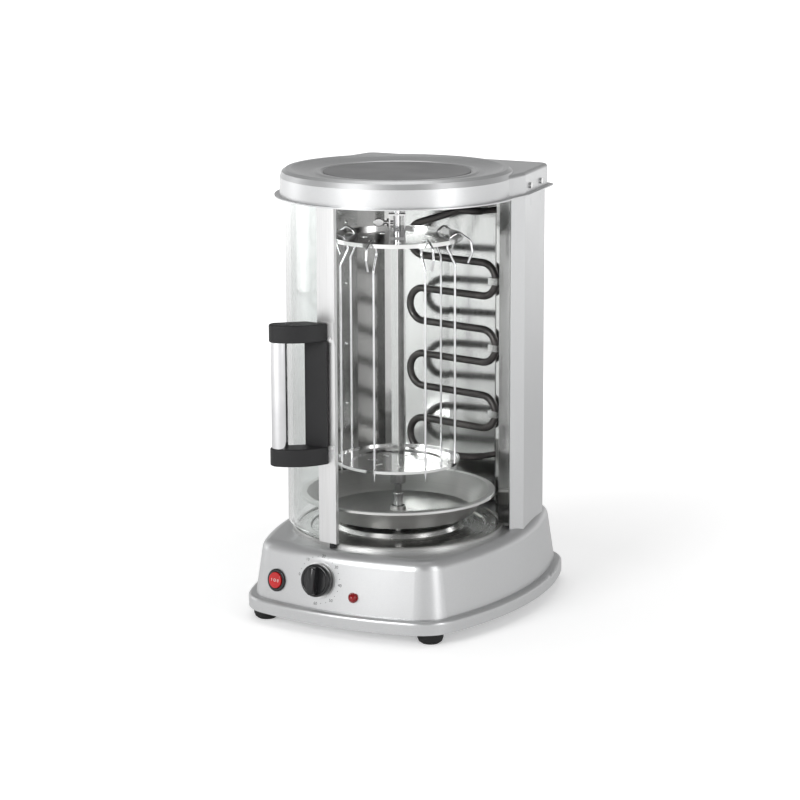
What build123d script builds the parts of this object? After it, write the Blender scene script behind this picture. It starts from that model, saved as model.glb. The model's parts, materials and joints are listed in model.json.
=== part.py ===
from build123d import *
import os
from math import asin, atan2, cos, degrees, hypot, radians, sin, sqrt, tan

# Vertical electric skewer grill: a round glass chamber with a sliding curved door stands on a
# bowed base; a motor turns a carousel of hanging skewers in front of a serpentine heater.
# Everything is built about the chamber's axis (x right, -y front, z up from the feet's soles,
# millimetres). Angles round the chamber are counted from the front, positive to the right.
# At export the model is shifted so that its origin is the bottom centre of its bounding box.

# ---------------------------------------------------------------- base
BASE_W, BASE_D = 284.0, 332.0      # widest part of the flange
FRONT_SAG, REAR_SAG, SIDE_SAG = 17.0, 10.0, 33.0   # bow of each side of the plan
BASE_CORNER_R = 46.0
AXIS_TO_BASE = 20.0                # base centre lies this far behind the chamber axis
FOOT_H, FOOT_R = 12.0, 13.5
FOOT_X, FOOT_FRONT, FOOT_REAR = BASE_W / 2 - 47.0, BASE_D / 2 - 35.0, BASE_D / 2 - 38.0
FOOT_SCREW_R = 2.0
FLANGE_TOP = 26.0                  # top of the flange's rolled ledge
FLANGE_ROLL = 4.0
LEDGE_W = 8.0                      # flange ledge in front of the tapered body
BASE_TOP = 84.0
BASE_TAPER = 8.5                   # degrees
BASE_EDGE_R = 12.0                 # soft rounding round the top face
SHEET = 1.5                        # base pressing thickness
BOTTOM_PLATE_T = 1.5
CLEAR = 0.3                        # gap between pieces that only meet
RUN_CLEAR = 0.05                   # radial running clearance of shafts

# ---------------------------------------------------------------- chamber
GLASS_T = 2.8
FIXED_GLASS_R = 106.0              # inner radius of the fixed pane
DOOR_GLASS_R = 111.6               # inner radius of the sliding pane
RAIL_IN_R, RAIL_OUT_R, RAIL_H = 104.9, 110.0, 4.0
FLOOR_T = 1.2
PLATEAU_R, PLATEAU_TOP = 66.5, 91.7
FLOOR_STEP_R, FLOOR_STEP = 91.5, 1.6
CHAMBER_H = 348.0
LID_Z = BASE_TOP + CHAMBER_H       # underside of the lid's lip
FIXED_EDGE, FIXED_BACK = -14.0, -111.0     # azimuths of the fixed pane
DOOR_EDGE, DOOR_BACK = -5.8, -127.0        # azimuths of the sliding pane when open
STRIP_LEFT = -16.0                 # far edge of the door's metal strip
STRIP_T = 1.0
STRIP_FOOT = 89.0
DOOR_FOOT = 94.0

# ---------------------------------------------------------------- rear housing and reflector
HOUSING_T = 1.2
PILLAR = [(113.0, 34.0), (121.0, 50.0)]    # right pillar, front edge then shoulder
HOUSING_REAR_X, HOUSING_REAR_Y = 105.5, 135.0
HOUSING_CORNER_R = 10.0
REFLECTOR_T = 0.8
REFLECTOR_RIGHT = [(97.0, 42.0), (97.0, 74.0), (84.0, 110.0), (50.0, 128.5)]
REFLECTOR_MID = (-6.0, 131.5)
REFLECTOR_LEFT = [(-57.0, 126.0), (-78.0, 117.0), (-84.0, 66.0), (-97.0, 42.0)]
REFLECTOR_LIP_R = 110.3            # left flange stops inside the door's path
RIVET_R, RIVET_Z = 1.8, [130.0 + 65.0 * n for n in range(5)]
VENT_W, VENT_H, VENT_PITCH, VENT_ROWS = 46.0, 3.0, 11.0, 9
VENT_X, VENT_Z = 34.0, 330.0
LID_SCREW_Y = (66.0, 104.0)        # screws that hold the lid to the housing's tabs
LID_TAB_GAP, LID_TAB_T = 2.6, 1.6

# ---------------------------------------------------------------- heating element
TUBE_R = 3.9
ELEMENT_REACH, ELEMENT_AZ = 91.4, 11.5     # the heater's upright plane: distance, azimuth from the rear
ELEMENT_HALF_W = 57.5              # from the plane's middle to the tube's centre at a bend
RUN_Z = [389.0 - 35.3 * n for n in range(8)]
BEND_R = (RUN_Z[0] - RUN_Z[1]) / 2
RUN_END = ELEMENT_HALF_W - BEND_R
TOP_RISE = 18.0                    # the top run leaves its bend rising, degrees
TOP_STRAIGHT, BOTTOM_STRAIGHT = 6.0, 8.0   # where the end runs start to turn back
TAIL_ALONG, TAIL_BACK = 20.0, 14.0         # size of that turn, along the plane and behind it
COLD_END_PAST = 9.0                # how far a cold end reaches behind the reflector
COLD_END_R = 3.3
BAR_W, BAR_T = 5.0, 2.0            # upright bar behind the right-hand bends
CLIP_H, CLIP_WALL = 7.0, 1.4
INSULATOR_R, INSULATOR_NECK_R = 6.5, 4.7
COLLAR_T = 2.2

# ---------------------------------------------------------------- carousel
SKEWERS = 7
FIRST_SKEWER = 4.4                 # azimuth of the first skewer
WIRE_R = 1.2
SKEWER_R = 60.0                    # straight part's distance from the axis
SKEWER_TIP_Z = 143.2
TRAY_R, TRAY_Z, TRAY_WELL_R = 64.5, 151.5, 45.0
DISC_R, DISC_Z = 67.5, 385.8
PLATE_T = 1.0
RIM_T = 1.0
TRAY_STEP = 1.6
DISC_RIM_TOP = 390.0
TRAY_RIM_TOP = 156.0
HUB_R, HUB_FOOT = 8.0, 129.0
NECK_R = 3.65
SOCKET_R, SOCKET_FOOT, SOCKET_TOP = 5.0, 99.0, 118.0
TAIL_W, TAIL_FOOT = 5.0, 107.0
TAIL_CLEAR = 0.1
TUBE_W, TUBE_WALL = 9.6, 1.0       # square centre tube
TUBE_TURN = -17.0                  # its turn about the axis, degrees
YOKE_W, YOKE_D, YOKE_TOP, YOKE_T = 17.0, 12.0, 412.0, 1.6
YOKE_TURN = 28.0
PIN_TOP, PIN_FOOT = LID_Z + 8.0, 368.0
THUMB_Z = 402.9
THUMB_SHANK_R = 2.0

# ---------------------------------------------------------------- drip pan
PAN_R, PAN_RIM_Z = 101.5, 123.0
PAN_FLOOR_Z, PAN_FLOOR_R, PAN_WALL_R = 100.0, 79.0, 95.5
PAN_T = 1.0
PAN_HOLE_R, PAN_COLLAR_H = 7.2, 5.0
PAN_FOOT_AT, PAN_FOOT_R = 56.0, 4.5

# ---------------------------------------------------------------- lid
LIP_R, SKIRT_R = 125.0, 119.5
LID_H = 27.5
LID_TOP = LID_Z + LID_H
LID_SHEET = 1.2
SHOULDER_R = 8.0
RIM_IN_R = 106.0
PLATE_R, PLATE_TOP = 75.5, LID_TOP - 3.5
LID_REAR_Y = 139.0
LID_REAR_TOP = LID_TOP - 4.5
WELL_DEPTH = 4.8                   # depth of the round recess for the dark plate
UPPER_RAIL_Z = LID_Z + 8.5
FIN_FOOT = LID_Z + 2.0
BUSH_R, BUSH_FOOT = 7.0, LID_Z
POST_AT, POST_R = 110.6, 2.0
LID_SCREW_Z, LID_SCREW_R, LID_SCREW_HEAD_R = LID_Z + 8.0, 1.6, 3.0

# ---------------------------------------------------------------- handle
CAP_FOOT, CAP_H, GRIP_L = 171.6, 18.0, 108.0
GRIP = (-59.0, -140.5)             # centre of the chrome tube
GRIP_R, GRIP_WALL = 8.25, 1.2
CAP_END_R = 10.0
PLATE_BACK = 3.0                   # thickness of the black plate behind the grip

# ---------------------------------------------------------------- controls
ROCKER_X, ROCKER_Z = -72.8, 46.5
KNOB_X, KNOB_Z = -19.9, 55.0
LAMP_X, LAMP_Z = 20.5, 42.3
BEZEL_R, ROCKER_BORE_R, PADDLE_R, PADDLE_T = 11.7, 8.8, 8.2, 5.0
ROCKER_PIN_R, ROCKER_PIN_REACH = 0.8, 9.6
KNOB_R, KNOB_BAR_W, KNOB_BAR_H, KNOB_SHAFT_R = 16.75, 9.0, 15.0, 3.0
LAMP_R = 5.25

# ---------------------------------------------------------------- motor and wiring
MOTOR_R, MOTOR_H, MOTOR_TOP = 24.5, 19.0, 76.0
SPINDLE_R = 3.5
GLAND_X, GLAND_Z, GLAND_R, CORD_R = 62.0, 44.0, 8.0, 3.6

FRONT_REACH = 152.5                # the timer knob's lower edge is the foremost point
REAR_REACH = AXIS_TO_BASE + BASE_D / 2
AXIS_Y = (FRONT_REACH - REAR_REACH) / 2


# ================================================================ helpers
def polar(radius, azimuth):
    """Point at an azimuth counted from the front, positive to the right."""
    a = radians(azimuth)
    return (radius * sin(a), -radius * cos(a))


def rear_polar(radius, azimuth):
    """Point at an azimuth counted from the rear, positive to the right."""
    a = radians(azimuth)
    return (radius * sin(a), radius * cos(a))


def ring_sector(inner, outer, start, end):
    """Flat piece of a ring between two azimuths counted from the front."""
    middle = (start + end) / 2
    return make_face([
        ThreePointArc(polar(inner, start), polar(inner, middle), polar(inner, end)),
        Line(polar(inner, end), polar(outer, end)),
        ThreePointArc(polar(outer, end), polar(outer, middle), polar(outer, start)),
        Line(polar(outer, start), polar(inner, start)),
    ])


def upright(face, foot, top):
    """Prism of a plan face between two levels."""
    return extrude(Pos(0, 0, foot) * face, top - foot)


def turned(points):
    """Solid of revolution of a closed (radius, height) outline about the chamber axis."""
    outline = Plane.XZ * make_face(Polyline(*points, close=True))
    return revolve(outline, Axis.Z)


def rod(radius, foot, top, at=(0.0, 0.0)):
    """Round upright bar between two levels."""
    return Pos(at[0], at[1], (foot + top) / 2) * Cylinder(radius, top - foot)


def tube(outer, inner, foot, top, at=(0.0, 0.0)):
    """Round upright tube between two levels."""
    return rod(outer, foot, top, at) - rod(inner, foot - 1, top + 1, at)


def block(size_x, size_y, foot, top, at=(0.0, 0.0)):
    """Upright square bar between two levels."""
    return Pos(at[0], at[1], (foot + top) / 2) * Box(size_x, size_y, top - foot)


def sheet_plan(points, thickness):
    """Plan of a folded sheet whose outer side follows the points; the sheet lies to the left."""
    inner = []
    for n, (x, y) in enumerate(points):
        normals = []
        for (ax, ay), (bx, by) in zip(points[max(n - 1, 0):n + 1], points[max(n, 1):n + 2]):
            length = hypot(bx - ax, by - ay)
            if length > 0:
                normals.append((-(by - ay) / length, (bx - ax) / length))
        mx = sum(v[0] for v in normals) / len(normals)
        my = sum(v[1] for v in normals) / len(normals)
        scale = thickness / (mx * mx + my * my)
        inner.append((x + mx * scale, y + my * scale))
    return make_face(Polyline(*points, *reversed(inner), close=True))


def around(piece, count, start=0.0):
    """Copies of a piece round the chamber axis."""
    return [Rot(0, 0, start + 360.0 * n / count) * piece for n in range(count)]


def write(name, shape):
    """Shift a node to the part's origin and write its STEP file."""
    pieces = shape if isinstance(shape, (list, tuple)) else [shape]
    moved = [Pos(0, AXIS_Y, 0) * solid for piece in pieces for solid in piece.solids()]
    node = moved[0] if len(moved) == 1 else Compound(children=moved)
    node.label = name
    export_step(node, "parts/" + name + ".step")


# ================================================================ base
def crossing(centre, radius, other, other_radius, side):
    """One of the two points where two circles cross."""
    dx, dy = other[0] - centre[0], other[1] - centre[1]
    apart = hypot(dx, dy)
    along = (radius * radius - other_radius * other_radius + apart * apart) / (2 * apart)
    across = side * sqrt(radius * radius - along * along)
    return (centre[0] + (along * dx - across * dy) / apart, centre[1] + (along * dy + across * dx) / apart)


def bow_radius(half_chord, sag):
    return (half_chord * half_chord + sag * sag) / (2 * sag)


def base_plan(inset=0.0):
    """Bowed rectangle with rounded corners, set in from the flange's edge, behind the chamber axis."""
    half_w, half_d = BASE_W / 2, BASE_D / 2
    side_x = half_w - SIDE_SAG
    front_r, rear_r = bow_radius(side_x, FRONT_SAG), bow_radius(side_x, REAR_SAG)
    half_length = half_d - (FRONT_SAG + REAR_SAG) / 2
    side_r = bow_radius(half_length, SIDE_SAG)
    side_c = (half_w - side_r, (FRONT_SAG - REAR_SAG) / 2)
    front_c, rear_c = (0, front_r - half_d), (0, half_d - rear_r)
    fx, fy = crossing(side_c, side_r - inset, front_c, front_r - inset, -1)
    rx, ry = crossing(side_c, side_r - inset, rear_c, rear_r - inset, 1)
    side_x = half_w - inset
    plan = make_face([
        ThreePointArc((-fx, fy), (0, inset - half_d), (fx, fy)),
        ThreePointArc((fx, fy), (side_x, side_c[1]), (rx, ry)),
        ThreePointArc((rx, ry), (0, half_d - inset), (-rx, ry)),
        ThreePointArc((-rx, ry), (-side_x, side_c[1]), (-fx, fy)),
    ])
    return Pos(0, AXIS_TO_BASE) * fillet(plan.vertices(), BASE_CORNER_R - inset)


def base_body(inset, foot, top, edge_r, roll):
    """Outer or inner form of the base: a flange with a tapered, soft-edged body on it."""
    ledge_top = FLANGE_TOP - inset
    flange = upright(base_plan(inset), foot, ledge_top)
    flange = fillet(flange.faces().sort_by(Axis.Z)[-1].edges(), roll)
    body = extrude(Pos(0, 0, FLANGE_TOP) * base_plan(LEDGE_W + inset), top - FLANGE_TOP,
                   taper=BASE_TAPER)
    body = fillet(body.faces().sort_by(Axis.Z)[-1].edges(), edge_r)
    if inset:
        body += upright(base_plan(LEDGE_W + inset), foot, FLANGE_TOP)
    return flange + body


def panel_frame(x, z):
    """Plane on the base's front wall: its z axis points out of the wall, its x axis right."""
    radius = bow_radius(BASE_W / 2 - SIDE_SAG, FRONT_SAG)
    wall_r = radius - LEDGE_W - (z - FLANGE_TOP) * tan(radians(BASE_TAPER))
    centre_y = AXIS_TO_BASE - BASE_D / 2 + radius
    y = centre_y - sqrt(wall_r * wall_r - x * x)
    bow, lean = asin(x / wall_r), radians(BASE_TAPER)
    out = (sin(bow) * cos(lean), -cos(bow) * cos(lean), sin(lean))
    return Plane(origin=(x, y, z), x_dir=(cos(bow), sin(bow), 0), z_dir=out)


def build_base():
    outer = base_body(0.0, FOOT_H, BASE_TOP, BASE_EDGE_R, FLANGE_ROLL)
    inner = base_body(SHEET, FOOT_H - 1, BASE_TOP - SHEET, BASE_EDGE_R - SHEET, FLANGE_ROLL - SHEET)
    shell = outer - inner
    shell -= rod(SOCKET_R + 3, BASE_TOP - 10, BASE_TOP + 10)
    for x, z, radius in ((ROCKER_X, ROCKER_Z, BEZEL_R - 1.5), (KNOB_X, KNOB_Z, KNOB_SHAFT_R + 2),
                         (LAMP_X, LAMP_Z, LAMP_R - 1.0)):
        shell -= panel_frame(x, z) * Cylinder(radius, 12)
    rear_y = AXIS_TO_BASE + BASE_D / 2
    shell -= Pos(GLAND_X, rear_y - 12, GLAND_Z) * Rot(90, 0, 0) * Cylinder(GLAND_R - 2, 40)
    write("base_shell", shell)

    plate = upright(base_plan(SHEET + CLEAR), FOOT_H, FOOT_H + BOTTOM_PLATE_T)
    for row in range(5):
        slot = Pos(0, AXIS_TO_BASE + 50 + 9 * row, FOOT_H) * extrude(SlotOverall(60, 3.5), 4, both=True)
        plate -= slot

    dome = turned([(0, 0), (FOOT_R - 4.5, 0), (FOOT_R - 1.6, 2.2), (FOOT_R - 0.3, 5.5),
                   (FOOT_R, FOOT_H), (0, FOOT_H)])
    plate_top = FOOT_H + BOTTOM_PLATE_T
    screw = rod(FOOT_SCREW_R, FOOT_H, plate_top + 5) + rod(2 * FOOT_SCREW_R, plate_top, plate_top + 2.5)
    places = [(s * FOOT_X, AXIS_TO_BASE + y) for y in (-FOOT_FRONT, FOOT_REAR) for s in (-1, 1)]
    for place in places:
        plate -= rod(FOOT_SCREW_R, FOOT_H - 1, plate_top + 1, place)
    write("base_bottom", plate)
    write("rubber_feet", [Pos(x, y, 0) * dome for x, y in places])
    write("foot_screws", [Pos(x, y, 0) * screw for x, y in places])


def build_chamber_floor():
    low = BASE_TOP
    step = FLOOR_STEP
    edge = RAIL_IN_R - CLEAR
    floor = turned([
        (SOCKET_R + 2.5, PLATEAU_TOP - FLOOR_T), (SOCKET_R + 2.5, PLATEAU_TOP),
        (PLATEAU_R - 3, PLATEAU_TOP), (PLATEAU_R - 0.9, PLATEAU_TOP - 0.9),
        (PLATEAU_R + 1.5, low + step + 1.0), (PLATEAU_R + 3.5, low + FLOOR_T),
        (FLOOR_STEP_R - 1.5, low + FLOOR_T), (FLOOR_STEP_R, low + FLOOR_T + step),
        (edge, low + FLOOR_T + step), (edge, low), (FLOOR_STEP_R + 1, low),
        (PLATEAU_R + 2.5, low), (PLATEAU_R - 0.3, low + step), (PLATEAU_R - 2.4, PLATEAU_TOP - FLOOR_T),
    ])
    write("chamber_floor", floor)

    top = BASE_TOP + RAIL_H
    rail = turned([
        (RAIL_IN_R, BASE_TOP), (RAIL_OUT_R, BASE_TOP), (RAIL_OUT_R, top - 1.2), (RAIL_OUT_R - 0.9, top),
        (RAIL_IN_R + 0.7, top), (RAIL_IN_R, top - 0.7),
    ])
    write("door_rail", rail)


# ================================================================ drive
def build_drive():
    boss_top = BASE_TOP - SHEET
    motor = rod(MOTOR_R, MOTOR_TOP - MOTOR_H, MOTOR_TOP)
    motor = fillet(motor.edges(), 1.5)
    motor += rod(7.0, MOTOR_TOP, MOTOR_TOP + 2.5)
    ears = [Pos(s * (MOTOR_R + 3.0), 0, MOTOR_TOP - 1.0) * Box(12, 12, 2.0) for s in (-1, 1)]
    for ear in ears:
        motor += ear
    motor -= rod(SPINDLE_R + RUN_CLEAR, MOTOR_TOP - 14, MOTOR_TOP + 5)
    for s in (-1, 1):
        motor -= rod(1.7, MOTOR_TOP - 5, MOTOR_TOP + 5, (s * (MOTOR_R + 5), 0))
    write("gear_motor", motor)

    bracket = block(84, 34, MOTOR_TOP, MOTOR_TOP + 1.5) - rod(9.0, MOTOR_TOP - 2, MOTOR_TOP + 5)
    for s in (-1, 1):
        bracket += block(1.5, 34, MOTOR_TOP, boss_top, (s * 41.25, 0))
        bracket += block(12, 34, boss_top - 1.5, boss_top, (s * 46.5, 0))
        bracket -= rod(1.7, MOTOR_TOP - 5, MOTOR_TOP + 5, (s * (MOTOR_R + 5), 0))
    write("motor_bracket", bracket)

    screw = rod(1.6, MOTOR_TOP - 5, MOTOR_TOP + 1.5) + rod(3.0, MOTOR_TOP + 1.5, MOTOR_TOP + 3.5)
    write("motor_screws", [Pos(s * (MOTOR_R + 5), 0, 0) * screw for s in (-1, 1)])

    spindle = rod(SPINDLE_R, MOTOR_TOP - 13, SOCKET_FOOT) + rod(SOCKET_R, SOCKET_FOOT, SOCKET_TOP)
    hole = TAIL_W + 2 * TAIL_CLEAR
    spindle -= Rot(0, 0, TUBE_TURN) * block(hole, hole, TAIL_FOOT - 1, SOCKET_TOP + 1)
    spindle = spindle + rod(SPINDLE_R + 2.0, PLATEAU_TOP + 1, PLATEAU_TOP + 2.5)
    write("drive_spindle", spindle)


def build_carousel():
    stem = rod(HUB_R, HUB_FOOT, TRAY_Z) + rod(NECK_R, SOCKET_TOP, HUB_FOOT)
    stem = stem + Rot(0, 0, TUBE_TURN) * block(TAIL_W, TAIL_W, TAIL_FOOT, SOCKET_TOP)
    stem = chamfer(stem.edges().filter_by(GeomType.CIRCLE).sort_by(SortBy.RADIUS)[-2:], 1.0)
    plug = TUBE_W - 2 * TUBE_WALL - 0.2
    stem = stem + Rot(0, 0, TUBE_TURN) * block(plug, plug, TRAY_Z, TRAY_Z + 14)
    write("drive_stem", stem)

    bore = TUBE_W - 2 * TUBE_WALL
    post = block(TUBE_W, TUBE_W, TRAY_Z + PLATE_T, DISC_Z)
    post = fillet(post.edges().filter_by(Axis.Z), 0.8) - block(bore, bore, TRAY_Z, DISC_Z + 1)
    write("centre_tube", Rot(0, 0, TUBE_TURN) * post)

    inner = TRAY_R - RIM_T
    tray = turned([
        (0, TRAY_Z), (TRAY_WELL_R, TRAY_Z), (TRAY_WELL_R + TRAY_STEP, TRAY_Z + TRAY_STEP),
        (TRAY_R, TRAY_Z + TRAY_STEP), (TRAY_R, TRAY_RIM_TOP), (inner, TRAY_RIM_TOP),
        (inner, TRAY_Z + TRAY_STEP + PLATE_T), (TRAY_WELL_R + TRAY_STEP - 0.4, TRAY_Z + TRAY_STEP + PLATE_T),
        (TRAY_WELL_R - 0.4, TRAY_Z + PLATE_T), (0, TRAY_Z + PLATE_T),
    ])
    tray -= Rot(0, 0, TUBE_TURN) * block(plug, plug, TRAY_Z - 5, TRAY_Z + 5)
    for hole in around(rod(WIRE_R + 0.5, TRAY_Z - 5, TRAY_Z + 9, polar(SKEWER_R, 0)), SKEWERS, FIRST_SKEWER):
        tray -= hole
    drain = Pos(0, -27, TRAY_Z) * Rot(0, 0, 90) * extrude(SlotOverall(11, 3), 4, both=True)
    for slot in around(drain, SKEWERS, FIRST_SKEWER + 180.0 / SKEWERS):
        tray -= slot
    write("lower_tray", tray)

    disc = turned([
        (0, DISC_Z), (DISC_R, DISC_Z), (DISC_R, DISC_RIM_TOP), (DISC_R - RIM_T, DISC_RIM_TOP),
        (DISC_R - RIM_T, DISC_Z + PLATE_T), (0, DISC_Z + PLATE_T),
    ])
    disc -= rod(NECK_R + 0.15, DISC_Z - 5, DISC_Z + 5)
    slot_in, slot_out = SKEWER_R - 10.5, SKEWER_R + 2.6
    slot = Pos(0, -(slot_in + slot_out) / 2, DISC_Z) * Rot(0, 0, 90)
    slot = slot * extrude(SlotOverall(slot_out - slot_in, 2 * WIRE_R + 1.4), 4, both=True)
    for opening in around(slot, SKEWERS, FIRST_SKEWER):
        disc -= opening
    for hole in around(rod(3.5, DISC_Z - 5, DISC_Z + 5, polar(34, 0)), SKEWERS, FIRST_SKEWER + 180.0 / SKEWERS):
        disc -= hole
    write("top_disc", disc)

    base = DISC_Z + PLATE_T
    yoke = block(YOKE_W, YOKE_D, base, YOKE_TOP)
    yoke -= block(YOKE_W - 2 * YOKE_T, YOKE_D + 2, base + YOKE_T, YOKE_TOP - YOKE_T)
    yoke -= rod(NECK_R + RUN_CLEAR, base - 5, YOKE_TOP + 5)
    yoke += Pos(-YOKE_W / 2 - 1, 0, THUMB_Z) * Rot(0, 90, 0) * Cylinder(4.0, 2.0)
    yoke -= Pos(-YOKE_W / 2, 0, THUMB_Z) * Rot(0, 90, 0) * Cylinder(THUMB_SHANK_R + RUN_CLEAR, 12)
    write("top_yoke", Rot(0, 0, YOKE_TURN) * yoke)

    pin = rod(NECK_R, PIN_FOOT, PIN_TOP)
    pin = chamfer(pin.edges(), 1.0)
    write("top_pin", pin)

    reach, tip = 14.0, NECK_R + CLEAR
    shank = Pos(-(reach + tip) / 2, 0, THUMB_Z) * Rot(0, 90, 0) * Cylinder(THUMB_SHANK_R, reach - tip)
    paddle = extrude(Plane.XZ * Ellipse(5.4, 4.2), 1.6, both=True)
    paddle = fillet(paddle.edges(), 0.9)
    thumb = shank + Pos(-reach - 4.6, 0, THUMB_Z) * paddle
    write("thumb_screw", Rot(0, 0, YOKE_TURN) * thumb)


def build_skewers():
    """Wire skewers: straight below, kinked inwards, then hooked out over the disc's rim."""
    rim = DISC_RIM_TOP
    bends = FilletPolyline(
        (SKEWER_R, SKEWER_TIP_Z + 8), (SKEWER_R, rim - 29), (SKEWER_R - 8.5, rim - 12),
        (SKEWER_R - 4, rim - 1), (SKEWER_R + 4.5, rim + 3.7), (SKEWER_R + 16, rim - 4),
        (SKEWER_R + 18, rim - 16), (SKEWER_R + 13.5, rim - 27), radius=6.0)
    path = Plane.XZ * bends
    start = Plane(origin=(SKEWER_R, 0, SKEWER_TIP_Z + 8), x_dir=(1, 0, 0), z_dir=(0, 0, 1))
    wire = sweep(start * Circle(WIRE_R), path=path)
    point = Pos(SKEWER_R, 0, SKEWER_TIP_Z + 4) * Cone(0.35, WIRE_R, 8)
    skewer = wire + point
    for n in range(SKEWERS):
        azimuth = FIRST_SKEWER + 360.0 * n / SKEWERS
        write("skewer_%d" % (n + 1), Rot(0, 0, azimuth - 90) * skewer)


def build_drip_pan():
    t, floor = PAN_T, PAN_FLOOR_Z
    pan = turned([
        (PAN_HOLE_R, floor), (PAN_FLOOR_R, floor), (PAN_WALL_R, PAN_RIM_Z - t), (PAN_R - 1.4, PAN_RIM_Z - t),
        (PAN_R - 1.4, PAN_RIM_Z - 3.2), (PAN_R, PAN_RIM_Z - 3.2), (PAN_R, PAN_RIM_Z - 0.8),
        (PAN_R - 0.8, PAN_RIM_Z), (PAN_WALL_R - 0.6, PAN_RIM_Z), (PAN_FLOOR_R - 0.7, floor + t),
        (PAN_HOLE_R + t, floor + t), (PAN_HOLE_R + t, floor + PAN_COLLAR_H), (PAN_HOLE_R, floor + PAN_COLLAR_H),
    ])
    foot_z = PLATEAU_TOP + CLEAR
    foot = turned([(0, foot_z), (PAN_FOOT_R - 2.5, foot_z), (PAN_FOOT_R - 1, foot_z + 1.2),
                   (PAN_FOOT_R, floor), (PAN_FOOT_R, floor + 0.5), (0, floor + 0.5)])
    for n in range(4):
        x, y = polar(PAN_FOOT_AT, 28.0 + 90 * n)
        pan += Pos(x, y, 0) * foot
    write("drip_pan", pan)


# ================================================================ rear housing
def mirrored(points):
    """Left-hand copy of plan points, in reverse order."""
    return [(-x, y) for x, y in reversed(points)]


def housing_plan():
    """Folded sheet from the right pillar round the rear to the left pillar."""
    right = PILLAR + [(HOUSING_REAR_X, HOUSING_REAR_Y)]
    plan = sheet_plan(right + mirrored(right), HOUSING_T)
    outer = plan.vertices().filter_by(lambda v: v.Y > HOUSING_REAR_Y - 0.01)
    plan = fillet(outer, HOUSING_CORNER_R)
    inner = plan.vertices().filter_by(
        lambda v: abs(v.Y - HOUSING_REAR_Y + HOUSING_T) < 0.01 and abs(v.X) > HOUSING_REAR_X - 6)
    return fillet(inner, HOUSING_CORNER_R - HOUSING_T)


def housing_side_x(y):
    """Half width of the housing at a depth behind the pillars' shoulders."""
    shoulder_x, shoulder_y = PILLAR[1]
    slope = (shoulder_x - HOUSING_REAR_X) / (HOUSING_REAR_Y - shoulder_y)
    return shoulder_x - slope * (y - shoulder_y)


def build_housing():
    foot = BASE_TOP - BASE_EDGE_R / 2
    wall = upright(housing_plan(), foot, LID_Z)
    wall -= base_body(0.0, FOOT_H, BASE_TOP, BASE_EDGE_R, FLANGE_ROLL)
    slot = Rot(90, 0, 0) * extrude(SlotOverall(VENT_W, VENT_H), 4, both=True)
    for row in range(VENT_ROWS):
        for s in (-1, 1):
            wall -= Pos(s * VENT_X, HOUSING_REAR_Y, VENT_Z + VENT_PITCH * (row - VENT_ROWS / 2)) * slot
    for s in (-1, 1):
        for y in LID_SCREW_Y:
            x = housing_side_x(y) - HOUSING_T
            wall += Pos(s * (x - LID_TAB_GAP), y, LID_Z) * Box(LID_TAB_T, 12, 26)
            wall += Pos(s * (x - LID_TAB_GAP / 2), y, LID_Z - 9) * Box(LID_TAB_GAP + 1.0, 12, 8)
            wall -= lid_screw_seat(s, y) * Cylinder(LID_SCREW_R, 30)
    write("rear_housing", wall)


def reflector_points():
    flange = PILLAR[0]
    lip_x, lip_y = REFLECTOR_LEFT[-1]
    reach = REFLECTOR_LIP_R / hypot(lip_x, lip_y)
    tip = (flange[0] - 1.6, flange[1] + 2.2)
    return [tip] + REFLECTOR_RIGHT + [REFLECTOR_MID] + REFLECTOR_LEFT + [(lip_x * reach, lip_y * reach)]


def build_reflector():
    plan = sheet_plan(reflector_points(), REFLECTOR_T)
    foot, top = BASE_TOP + FLOOR_T + FLOOR_STEP + CLEAR, LID_Z + 1.7
    sheet = upright(plan, foot, top)
    sheet -= tube(RAIL_OUT_R + CLEAR, RAIL_IN_R - CLEAR, foot - 5, BASE_TOP + RAIL_H + CLEAR)
    for end in cold_ends():
        sheet -= end_place(end[2], end[3])[0] * Cylinder(INSULATOR_NECK_R + CLEAR, 60)
    write("reflector", sheet)

    (ax, ay), (bx, by) = REFLECTOR_LEFT[-2:]
    length = hypot(bx - ax, by - ay)
    inward = ((ay - by) / length, (bx - ax) / length, 0)
    x, y = (ax + bx) / 2 + REFLECTOR_T * inward[0], (ay + by) / 2 + REFLECTOR_T * inward[1]
    rivet = Sphere(RIVET_R) & (Pos(0, 0, RIVET_R) * Box(3 * RIVET_R, 3 * RIVET_R, 2 * RIVET_R))
    seats = [Plane(origin=(x, y, z), x_dir=(0, 0, 1), z_dir=inward) for z in RIVET_Z]
    write("reflector_rivets", [seat * rivet for seat in seats])


# ================================================================ heating element
def heater_point(along, behind, z):
    """Point given along the heater's plane, positive to the right, and behind it."""
    a, reach = radians(ELEMENT_AZ), ELEMENT_REACH + behind
    return (reach * sin(a) + along * cos(a), reach * cos(a) - along * sin(a), z)


def cold_end(along, behind, z):
    """Location of a cold end, its z axis square to the panel behind it, and that panel's distance."""
    x, y, _ = heater_point(along, behind, z)
    points = reflector_points()
    for (ax, ay), (bx, by) in zip(points, points[1:]):
        if atan2(ax, ay) >= atan2(x, y) >= atan2(bx, by):
            break
    length = hypot(bx - ax, by - ay)
    out = ((by - ay) / length, (ax - bx) / length, 0)
    place = Location(Plane(origin=(x, y, z), x_dir=(0, 0, 1), z_dir=out))
    return place, (ax - x) * out[0] + (ay - y) * out[1]


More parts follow.
